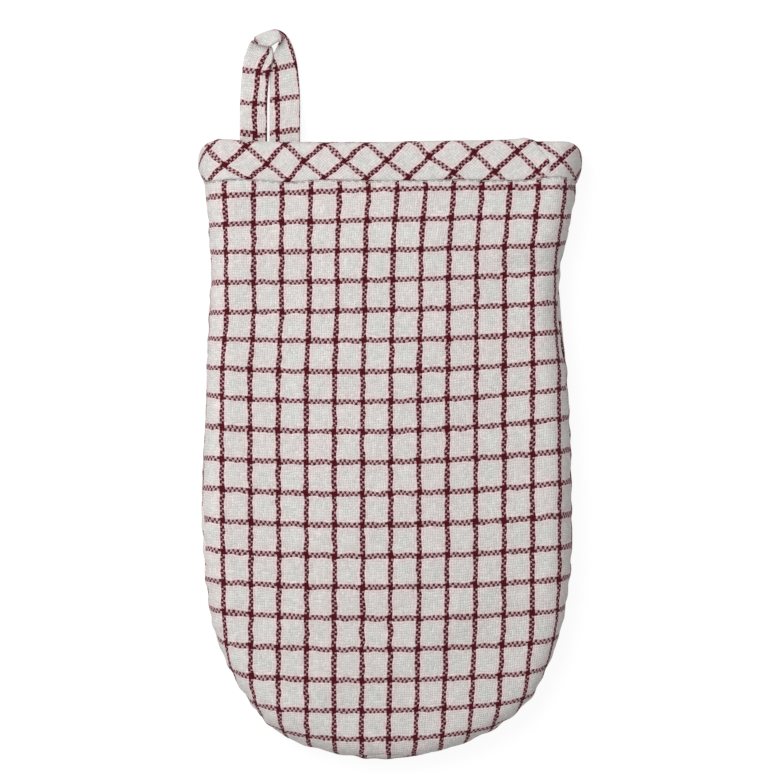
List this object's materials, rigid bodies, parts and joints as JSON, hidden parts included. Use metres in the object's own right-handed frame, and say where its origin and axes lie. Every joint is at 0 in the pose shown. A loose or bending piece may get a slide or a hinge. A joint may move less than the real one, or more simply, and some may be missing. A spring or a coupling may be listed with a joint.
{
  "type": "grill mitt",
  "caption": "Flat, thumbless grill mitt: padded cloth panels seamed round a tongue-shaped outline, with a bias-bound open mouth and a sewn hanging loop.",
  "frame": {"origin": "on the flat of the back, below the middle of the face, 0.147 m from the rounded end", "axes": "+Y from the rounded end to the mouth and the hanging loop, +Z out of the face as it lies on its back, +X to the right seen from above"},
  "size_m": [0.1531, 0.2917, 0.0242],
  "materials": {
    "panel_cloth": "matte plain weave, off-white with a dark red windowpane check",
    "bias_cloth": "the same checked cloth cut on the bias",
    "loop_cloth": "the same checked cloth folded into a tape"
  },
  "bodies": {
    "root": {"front_panel": "panel_cloth", "back_panel": "panel_cloth", "binding": "bias_cloth", "hanging_loop": "loop_cloth"}
  },
  "joints": []
}
